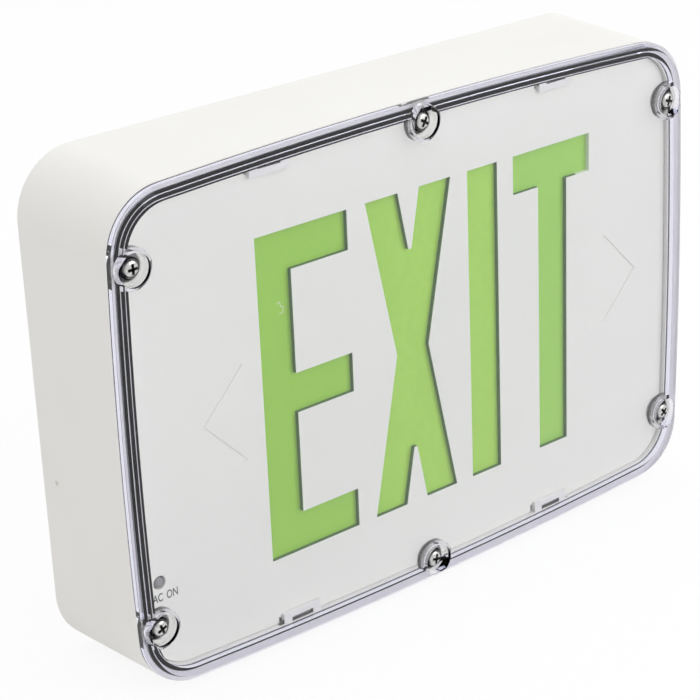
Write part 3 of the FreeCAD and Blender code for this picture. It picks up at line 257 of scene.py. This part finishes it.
FACE_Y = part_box("faceplate")[0].y
LEFT_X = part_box("back_housing")[0].x
CASE_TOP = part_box("back_housing")[1].z
CATCH_Y = -62.3 * MM            # front plane of the snap catches on the case
PANEL_Y = -58.2 * MM            # front plane of the green panel
SLOT_X = (72.0 * MM, 91.5 * MM)         # the catch slots: from and to, either side of the middle
SLOT_DOWN = (10.45 * MM, 8.15 * MM)     # and how far in from the top and bottom of the case
SLOT_DEPTH = 2.3 * MM
LETTER_FIELD = (100.0 * MM, 80.0 * MM)  # half the width and height that holds the letters


def slot_walls(look, front):
    """1 on the walls of the four catch slots, below the plane that they open in; these walls take a
    painted shade.
    """
    wide = look.math("ABSOLUTE", look.axis("X"))
    high = look.math("ABSOLUTE", look.axis("Z"))
    parts = [look.ramp(look.axis("Y"), front + 0.1 * MM, front + 0.6 * MM),
             look.math("LESS_THAN", look.axis("Y"), front + SLOT_DEPTH),
             look.math("GREATER_THAN", wide, SLOT_X[0]),
             look.math("LESS_THAN", wide, SLOT_X[1]),
             look.math("GREATER_THAN", high, CASE_TOP - SLOT_DOWN[0]),
             look.math("LESS_THAN", high, CASE_TOP - SLOT_DOWN[1])]
    mask = parts[0]
    for part in parts[1:]:
        mask = look.math("MULTIPLY", mask, part)
    return mask


def case_look():
    """White moulded case, with the dark spot and the fine scratch on its left side, and painted shade
    on the walls of its catch slots.
    """
    look = Look("white_case")
    colour = look.mottle(tone(241, 239, 234), tone(235, 232, 226), 7.0, 0.7)
    spot = (LEFT_X, -11.6 * MM, -28.2 * MM)
    colour = look.tint(look.near(spot, 1.5 * MM), 0.42, colour, tone(150, 140, 128))
    line = look.stroke((LEFT_X, -55.5 * MM, 98.0 * MM), (LEFT_X, -53.8 * MM, 85.0 * MM), 0.5 * MM)
    colour = look.tint(line, 0.25, colour, tone(196, 190, 180))
    # painted shade inside the catch slots
    colour = look.tint(slot_walls(look, CATCH_Y), 0.95, colour, tone(62, 56, 49))
    look.feed("Base Color", colour)
    look.feed("Roughness", look.ramp(look.noise(30.0, 5.0), 0.25, 0.75, 0.36, 0.50))
    look.put("IOR", 1.5)
    look.bump(look.noise(1500.0, 2.0), 0.000012, 0.6)
    look.bump(look.noise(26.0, 2.0), 0.00012, 0.25)
    return look


def face_look():
    """White stencil plate, with painted shade and green reflection on the cut walls of its letters, and
    painted shade in its catch slots.
    """
    look = Look("white_face")
    colour = look.mottle(tone(246, 246, 235), tone(241, 241, 230), 8.0, 0.6)
    deep = look.ramp(look.axis("Y"), FACE_Y + 0.05 * MM, FACE_Y + 0.25 * MM)
    wide = look.math("ABSOLUTE", look.axis("X"))
    high = look.math("ABSOLUTE", look.axis("Z"))
    inner = look.math("MULTIPLY", look.math("LESS_THAN", wide, LETTER_FIELD[0]),
                      look.math("LESS_THAN", high, LETTER_FIELD[1]))
    # painted shade and painted green reflection of the panel on the letters' cut walls
    colour = look.tint(deep, inner, colour, tone(70, 112, 42))
    # painted shade inside the catch slots
    colour = look.tint(slot_walls(look, FACE_Y), 0.95, colour, tone(46, 42, 38))
    look.feed("Base Color", colour)
    look.feed("Roughness", look.ramp(look.noise(40.0, 4.0), 0.25, 0.75, 0.42, 0.56))
    look.bump(look.noise(1500.0, 3.0), 0.00002, 0.7)
    return look


def panel_look():
    """Green panel: darker behind the E, brightest behind X and I, bluer behind the T."""
    look = Look("green_panel")
    across = look.axis("X")
    base = look.mix(look.ramp(across, -50.0 * MM, -12.0 * MM), tone(157, 214, 56), tone(174, 226, 77))
    base = look.mix(look.ramp(across, 46.0 * MM, 64.0 * MM), base, tone(162, 219, 82))
    cloud = look.ramp(look.noise(420.0, 4.0), 0.4, 0.7, 0.0, 0.35)
    colour = look.mix(cloud, base, tone(150, 208, 58))
    # Points of the pale mark on the stem of the E, (x, z) in millimetres. It can be read as a 3.
    mark = [(-80.5, 43.0), (-78.7, 43.4), (-78.3, 41.4), (-76.9, 40.6), (-77.3, 38.4), (-79.0, 38.0)]
    for (ax, az), (bx, bz) in zip(mark, mark[1:]):
        line = look.stroke((ax * MM, PANEL_Y, az * MM), (bx * MM, PANEL_Y, bz * MM), 0.4 * MM)
        colour = look.tint(line, 0.6, colour, tone(222, 232, 205))
    look.feed("Base Color", colour)
    look.feed("Roughness", look.ramp(look.noise(60.0, 4.0), 0.3, 0.7, 0.38, 0.5))
    look.bump(look.noise(1800.0, 2.0), 0.00001, 0.5)
    return look


COVER_IOR = 1.49        # at 1.585 the bevel reflects totally and the rim goes dark grey
COVER_TINT = (0.62, 0.62, 0.84, 1.0)
COVER_DENSITY = 55.0


def cover_look():
    """Clear plastic: a little lavender where it is thick, and light passes it to the face."""
    look = Look("clear_cover")
    look.feed("Base Color", look.mottle(tone(254, 254, 254), tone(251, 251, 252), 5.0, 0.5))
    look.put("Transmission Weight", 1.0)
    look.put("IOR", COVER_IOR)
    haze = look.noise(14.0, 5.0)
    look.feed("Roughness", look.ramp(haze, 0.3, 0.7, 0.0, 0.03))
    look.bump(look.noise(11.0, 1.0), 0.0001, 0.15)
    path = look.node("ShaderNodeLightPath")
    clear = look.node("ShaderNodeBsdfTransparent")
    clear.inputs["Color"].default_value = tone(248, 248, 248)
    both = look.node("ShaderNodeMixShader")
    look.link(path.outputs["Is Shadow Ray"], both.inputs["Fac"])
    look.link(look.bsdf.outputs[0], both.inputs[1])
    look.link(clear.outputs[0], both.inputs[2])
    look.link(both.outputs[0], look.out.inputs["Surface"])
    tint = look.node("ShaderNodeVolumeAbsorption")
    tint.inputs["Color"].default_value = COVER_TINT
    tint.inputs["Density"].default_value = COVER_DENSITY
    look.link(tint.outputs[0], look.out.inputs["Volume"])
    return look


CASE = case_look()
FACE = face_look()
PANEL = panel_look()
COVER = cover_look()
RUBBER = rubber("black_rubber", tone(22, 22, 30), tone(32, 32, 40))
STEEL = metal("steel", tone(196, 194, 190), tone(150, 148, 144), 0.24)
HEAD_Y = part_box("cover_screws")[0].y
# The heads carry a painted shade ring on their sides, darkening from just behind the dome toward the
# underside.
HEAD = metal("head_steel", tone(214, 214, 212), tone(150, 149, 147), 0.2, (1.0, 1.0, 1.0), 1500.0,
             (HEAD_Y + 0.35 * MM, HEAD_Y + 1.3 * MM, tone(58, 57, 56)))
# Painted shade: the cross recesses get a dark steel that stands in for the shade inside them.
RECESS_SHADE = metal("recess_painted_shade", tone(64, 62, 60), tone(38, 37, 36), 0.4)
BRASS = metal("brass", tone(212, 178, 108), tone(176, 140, 78))
REFLECTOR = plastic("white_reflector", tone(240, 240, 240), tone(232, 232, 230), 0.25)
WHITE_BOARD = plastic("white_board", tone(232, 232, 228), tone(222, 222, 216), 0.4)
LENS = plastic("led_lens", tone(146, 146, 146), tone(132, 132, 133), 0.5)
BLACK = plastic("black_plastic", tone(28, 28, 30), tone(40, 40, 42), 0.45)
GREEN_BOARD = plastic("green_board", tone(24, 92, 52), tone(16, 74, 40), 0.35, 900.0, 0.00003)
CORE = metal("core_steel", tone(92, 92, 94), tone(60, 60, 62), 0.45, (1.0, 14.0, 1.0), 900.0)
COIL = plastic("coil_tape", tone(226, 196, 84), tone(206, 172, 60), 0.3, 800.0, 0.00003)
CAPS = plastic("capacitor_sleeve", tone(40, 48, 84), tone(28, 34, 62), 0.25)
NATURAL = plastic("natural_plastic", tone(232, 228, 212), tone(220, 214, 194), 0.4)
CELL = metal("cell_case", tone(200, 198, 194), tone(160, 158, 154), 0.3)
SLEEVE = plastic("sleeve_film", tone(66, 108, 168), tone(50, 88, 146), 0.2, 240.0, 0.00005)
RED_WIRE = plastic("red_insulation", tone(188, 36, 34), tone(160, 26, 26), 0.35)
BLACK_WIRE = plastic("black_insulation", tone(30, 30, 32), tone(44, 44, 46), 0.35)
WHITE_WIRE = plastic("white_insulation", tone(232, 232, 228), tone(218, 218, 212), 0.35)
TINNED = metal("led_wire", tone(206, 206, 202), tone(176, 176, 172), 0.25)

LOOKS = {
    "back_housing": CASE, "wall_gasket": RUBBER, "entry_grommet": RUBBER,
    "cover_gasket": RUBBER, "clear_cover": COVER, "screw_inserts": BRASS,
    "screw_seals": RUBBER, "cover_screws": STEEL, "faceplate": FACE,
    "green_diffuser": PANEL, "light_box": REFLECTOR, "light_box_screws": STEEL,
    "led_board_upper": WHITE_BOARD, "led_board_lower": WHITE_BOARD, "strip_leds": LENS,
    "ac_on_led": LENS, "led_holder": BLACK, "charger_board": GREEN_BOARD,
    "board_screws": STEEL, "transformer_core": CORE, "transformer_coil": COIL,
    "board_capacitors": CAPS, "board_plugs": NATURAL, "battery_cells": CELL,
    "battery_sleeve": SLEEVE, "battery_strap": STEEL, "strap_screws": STEEL,
    "battery_lead_red": RED_WIRE, "battery_lead_black": BLACK_WIRE,
    "supply_lead_black": BLACK_WIRE, "supply_lead_white": WHITE_WIRE,
    "strip_leads": WHITE_WIRE, "indicator_leads": TINNED,
}
for node_name, look in LOOKS.items():
    show(node_name, look)

soft_edges = NODES["clear_cover"].modifiers.new("soft_edges", "BEVEL")
soft_edges.width = 0.45 * MM
soft_edges.segments = 3
soft_edges.limit_method = "ANGLE"
soft_edges.angle_limit = math.radians(32.0)
soft_edges.harden_normals = True


# ---------------------------------------------------------------- cover screws

LATHE_SIDES = 48
HEAD_TALL = 2.3 * MM
SHANK_RADIUS = 2.0 * MM
POINT_RADIUS = 1.2 * MM         # the shank's end, and the length over which it narrows to it
EDGE_ROLL = 0.12 * MM
CROSS_REACH, CROSS_WIDTH, CROSS_DEPTH = 2.6 * MM, 0.68 * MM, 1.7 * MM
CROSS_TURN = (17.0, 71.0)       # turn of the first recess, and from each screw to the next, in degrees


def clusters(name, reach):
    """The lowest and highest corners of each separate fastener in a CAD node."""
    groups = []
    for vert in NODES[name].data.vertices:
        for group in groups:
            if abs(vert.co.x - group[0].x) < reach and abs(vert.co.z - group[0].z) < reach:
                group.append(vert.co)
                break
        else:
            groups.append([vert.co])
    out = []
    for group in groups:
        low = [min(p[k] for p in group) for k in range(3)]
        high = [max(p[k] for p in group) for k in range(3)]
        out.append((Vector(low), Vector(high)))
    return out


def lathe(bm, profile, middle):
    """Turns (radius, y) pairs about a Y line through middle; the ends close on the line."""
    rings = []
    for radius, y in profile:
        if radius < 1e-9:
            rings.append([bm.verts.new((middle[0], y, middle[1]))])
            continue
        ring = []
        for k in range(LATHE_SIDES):
            a = 2.0 * math.pi * k / LATHE_SIDES
            spot = (middle[0] + radius * math.cos(a), y, middle[1] + radius * math.sin(a))
            ring.append(bm.verts.new(spot))
        rings.append(ring)
    for one, two in zip(rings, rings[1:]):
        count = max(len(one), len(two))
        for k in range(count):
            a, b = one[k % len(one)], one[(k + 1) % len(one)]
            c, d = two[(k + 1) % len(two)], two[k % len(two)]
            corners = []
            for v in (a, b, c, d):
                if v not in corners:
                    corners.append(v)
            if len(corners) > 2:
                bm.faces.new(corners)


def mesh_object(name, bm, look, smooth=40.0):
    """An object from bm, smooth but for edges sharper than that many degrees, or all smooth at 0."""
    bmesh.ops.recalc_face_normals(bm, faces=bm.faces)
    data = bpy.data.meshes.new(name)
    bm.to_mesh(data)
    bm.free()
    obj = bpy.data.objects.new(name, data)
    bpy.context.scene.collection.objects.link(obj)
    data.materials.append(look.mat)
    for poly in data.polygons:
        poly.use_smooth = True
    if smooth:
        data.set_sharp_from_angle(angle=math.radians(smooth))
    return obj


def cross_cutter(bm, middle, front, angle, reach, width, depth):
    """A tapered cross, as a Phillips driver leaves it."""
    spin = Matrix.Rotation(angle, 3, "Y")
    for turn in (0.0, math.pi / 2.0):
        turned = spin @ Matrix.Rotation(turn, 3, "Y")
        tops = [(-reach, -width), (reach, -width), (reach, width), (-reach, width)]
        deep = [(-reach * 0.35, -width * 0.6), (reach * 0.35, -width * 0.6),
                (reach * 0.35, width * 0.6), (-reach * 0.35, width * 0.6)]
        layers = []
        for pts, y in ((tops, front - 0.4 * MM), (tops, front), (deep, front + depth)):
            place = Vector((middle[0], y, middle[1]))
            layers.append([bm.verts.new(turned @ Vector((x, 0.0, z)) + place) for x, z in pts])
        for a, b in zip(layers, layers[1:]):
            for k in range(4):
                bm.faces.new((a[k], a[(k + 1) % 4], b[(k + 1) % 4], b[k]))
        bm.faces.new(layers[0])
        bm.faces.new(layers[-1])


def build_cover_screws():
    """Pan heads with a Phillips recess and a rolled edge, on the shanks that the CAD gives."""
    spots = clusters("cover_screws", 12.0 * MM)
    bm = bmesh.new()
    cut = bmesh.new()
    for k, (low, high) in enumerate(spots):
        middle = ((low.x + high.x) / 2.0, (low.z + high.z) / 2.0)
        r = (high.x - low.x) / 2.0
        front = low.y
        tip = high.y
        under = front + HEAD_TALL
        profile = [(0.0, front), (r * 0.30, front + 0.03 * MM), (r * 0.58, front + 0.18 * MM),
                   (r * 0.80, front + 0.52 * MM), (r * 0.94, front + 1.05 * MM), (r, front + 1.65 * MM),
                   (r, under - EDGE_ROLL), (r - EDGE_ROLL, under), (SHANK_RADIUS, under),
                   (SHANK_RADIUS, tip - POINT_RADIUS), (POINT_RADIUS, tip), (0.0, tip)]
        lathe(bm, profile, middle)
        turn = math.radians(CROSS_TURN[0] + CROSS_TURN[1] * k)
        cross_cutter(cut, middle, front, turn, CROSS_REACH, CROSS_WIDTH, CROSS_DEPTH)
    screws = mesh_object("cover_screw_set", bm, HEAD)
    # the cutter's faces pass the painted shade material to the recess walls
    cutter = mesh_object("cross_cutter", cut, RECESS_SHADE, 0)
    cutter.hide_render = True
    cutter.hide_viewport = True
    boolean = screws.modifiers.new("recess", "BOOLEAN")
    boolean.object = cutter
    boolean.operation = "DIFFERENCE"
    boolean.solver = "EXACT"
    boolean.use_self = True
    boolean.material_mode = "TRANSFER"
    graph = bpy.context.evaluated_depsgraph_get()
    done = bpy.data.meshes.new_from_object(screws.evaluated_get(graph))
    screws.modifiers.clear()
    screws.data = done
    bpy.data.objects.remove(cutter)
    done.set_sharp_from_angle(angle=math.radians(35.0))
    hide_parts("cover_screws")
    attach(screws, "root")


build_cover_screws()


# ---------------------------------------------------------------- print on the face

WORDS_WIDTH, WORDS_TALL = 13.15 * MM, 4.0 * MM
WORDS_RIGHT, WORDS_DOWN = 2.6 * MM, 7.3 * MM    # middle of the words, from the middle of the lamp


def build_print():
    """The two words under the lamp, as thin ink on the face."""
    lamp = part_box("ac_on_led")
    ink = Look("ink")
    ink.feed("Base Color", ink.mottle(tone(70, 70, 72), tone(98, 98, 100), 900.0))
    ink.feed("Roughness", ink.ramp(ink.noise(700.0), 0.3, 0.7, 0.5, 0.65))
    ink.bump(ink.noise(2600.0), 0.000004)
    words = bpy.data.curves.new("lamp_words", "FONT")
    words.body = "AC ON"
    words.size = 5.6 * MM
    words.extrude = 0.01 * MM
    words.offset = 0.085 * MM
    words.align_x = "CENTER"
    words.align_y = "CENTER"
    words.space_word = 1.7
    holder = bpy.data.objects.new("lamp_words_curve", words)
    bpy.context.scene.collection.objects.link(holder)
    holder.rotation_euler = (math.radians(90.0), 0.0, 0.0)
    middle_x = (lamp[0].x + lamp[1].x) / 2.0 + WORDS_RIGHT
    middle_z = (lamp[0].z + lamp[1].z) / 2.0 - WORDS_DOWN
    holder.location = (middle_x, FACE_Y - 0.02 * MM, middle_z)
    bpy.context.view_layer.update()
    graph = bpy.context.evaluated_depsgraph_get()
    data = bpy.data.meshes.new_from_object(holder.evaluated_get(graph))
    data.transform(holder.matrix_world)
    span = max(v.co.x for v in data.vertices) - min(v.co.x for v in data.vertices)
    tall = max(v.co.z for v in data.vertices) - min(v.co.z for v in data.vertices)
    for v in data.vertices:
        v.co.x = middle_x + (v.co.x - middle_x) * WORDS_WIDTH / span
        v.co.z = middle_z + (v.co.z - middle_z) * WORDS_TALL / tall
    data.materials.clear()
    data.materials.append(ink.mat)
    bpy.data.objects.remove(holder)
    printed = bpy.data.objects.new("lamp_words", data)
    bpy.context.scene.collection.objects.link(printed)
    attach(printed, "root")


build_print()


# ---------------------------------------------------------------- floor, light and camera

FLOOR_GLOW = 1.03
FLOOR_SHARE = 0.86      # the rest is the plain floor, which keeps the shadow
WORLD_FILL = 0.79


def seen_rays(tree):
    """1 on camera, glossy and transmission rays, which see the backdrop itself."""
    path = tree.nodes.new("ShaderNodeLightPath")
    seen = path.outputs["Is Camera Ray"]
    for ray in ("Is Glossy Ray", "Is Transmission Ray"):
        either = tree.nodes.new("ShaderNodeMath")
        either.operation = "MAXIMUM"
        tree.links.new(seen, either.inputs[0])
        tree.links.new(path.outputs[ray], either.inputs[1])
        seen = either.outputs[0]
    return seen


def build_floor():
    """A pale floor that shows white but keeps the object's shadow."""
    bm = bmesh.new()
    bmesh.ops.create_grid(bm, x_segments=2, y_segments=2, size=8.0)
    data = bpy.data.meshes.new("floor")
    bm.to_mesh(data)
    bm.free()
    floor = bpy.data.objects.new("floor", data)
    floor.location = (0.0, 0.0, CAD_BOX[0].z)
    bpy.context.scene.collection.objects.link(floor)
    mat = bpy.data.materials.new("pale_floor")
    mat.use_nodes = True
    tree = mat.node_tree
    nodes = tree.nodes
    bsdf = nodes["Principled BSDF"]
    bsdf.inputs["Base Color"].default_value = (0.8, 0.8, 0.8, 1.0)
    bsdf.inputs["Roughness"].default_value = 0.9
    bsdf.inputs["Specular IOR Level"].default_value = 0.0
    glow = nodes.new("ShaderNodeEmission")
    glow.inputs["Strength"].default_value = FLOOR_GLOW
    share = nodes.new("ShaderNodeMath")
    share.operation = "MULTIPLY"
    share.inputs[1].default_value = FLOOR_SHARE
    blend = nodes.new("ShaderNodeMixShader")
    tree.links.new(seen_rays(tree), share.inputs[0])
    tree.links.new(share.outputs[0], blend.inputs["Fac"])
    tree.links.new(bsdf.outputs[0], blend.inputs[1])
    tree.links.new(glow.outputs[0], blend.inputs[2])
    tree.links.new(blend.outputs[0], nodes["Material Output"].inputs["Surface"])
    data.materials.append(mat)


def build_world():
    """White fill light, and plain white where the world itself is seen."""
    world = bpy.data.worlds.new("studio")
    bpy.context.scene.world = world
    world.use_nodes = True
    tree = world.node_tree
    nodes = tree.nodes
    nodes.clear()
    out = nodes.new("ShaderNodeOutputWorld")
    fill = nodes.new("ShaderNodeBackground")
    fill.inputs["Color"].default_value = (1.0, 1.0, 1.0, 1.0)
    fill.inputs["Strength"].default_value = WORLD_FILL
    white = nodes.new("ShaderNodeBackground")
    white.inputs["Strength"].default_value = 1.0
    white.inputs["Color"].default_value = (1.0, 1.0, 1.0, 1.0)
    blend = nodes.new("ShaderNodeMixShader")
    tree.links.new(seen_rays(tree), blend.inputs["Fac"])
    tree.links.new(fill.outputs[0], blend.inputs[1])
    tree.links.new(white.outputs[0], blend.inputs[2])
    tree.links.new(blend.outputs[0], out.inputs["Surface"])


def area(name, place, aim, size, power, colour=(1.0, 1.0, 1.0)):
    """A soft rectangular lamp at place, turned toward aim; size in metres, power in watts."""
    data = bpy.data.lights.new(name, "AREA")
    data.shape = "RECTANGLE"
    data.size = size[0]
    data.size_y = size[1]
    data.energy = power
    data.color = colour
    obj = bpy.data.objects.new(name, data)
    obj.location = place
    obj.rotation_euler = (Vector(aim) - Vector(place)).to_track_quat("-Z", "Y").to_euler()
    bpy.context.scene.collection.objects.link(obj)


def build_lights():
    """A cool lamp above and a stronger white one in front."""
    area("top_light", (0.1, -0.2, 1.6), (0.0, -0.03, 0.0), (1.6, 1.2), 5.2, (0.84, 0.92, 1.0))
    area("front_light", (0.9, -1.7, 0.9), (0.0, -0.06, 0.0), (1.4, 1.2), 12.5)


SENSOR_MM, LENS_MM = 36.0, 114.94
CAMERA_PLACE = (-0.6207, -0.7640, 0.3929)
CAMERA_TURN = (67.2033, 2.2476, -40.3941)       # degrees


def build_camera():
    """The view from the left and above."""
    data = bpy.data.cameras.new("camera")
    data.sensor_width = SENSOR_MM
    data.lens = LENS_MM
    data.clip_start = 0.02
    data.clip_end = 60.0
    cam = bpy.data.objects.new("camera", data)
    cam.location = CAMERA_PLACE
    cam.rotation_euler = Euler([math.radians(angle) for angle in CAMERA_TURN])
    bpy.context.scene.collection.objects.link(cam)
    bpy.context.scene.camera = cam


build_floor()
build_world()
build_lights()
build_camera()
bpy.context.scene.view_settings.view_transform = "Standard"
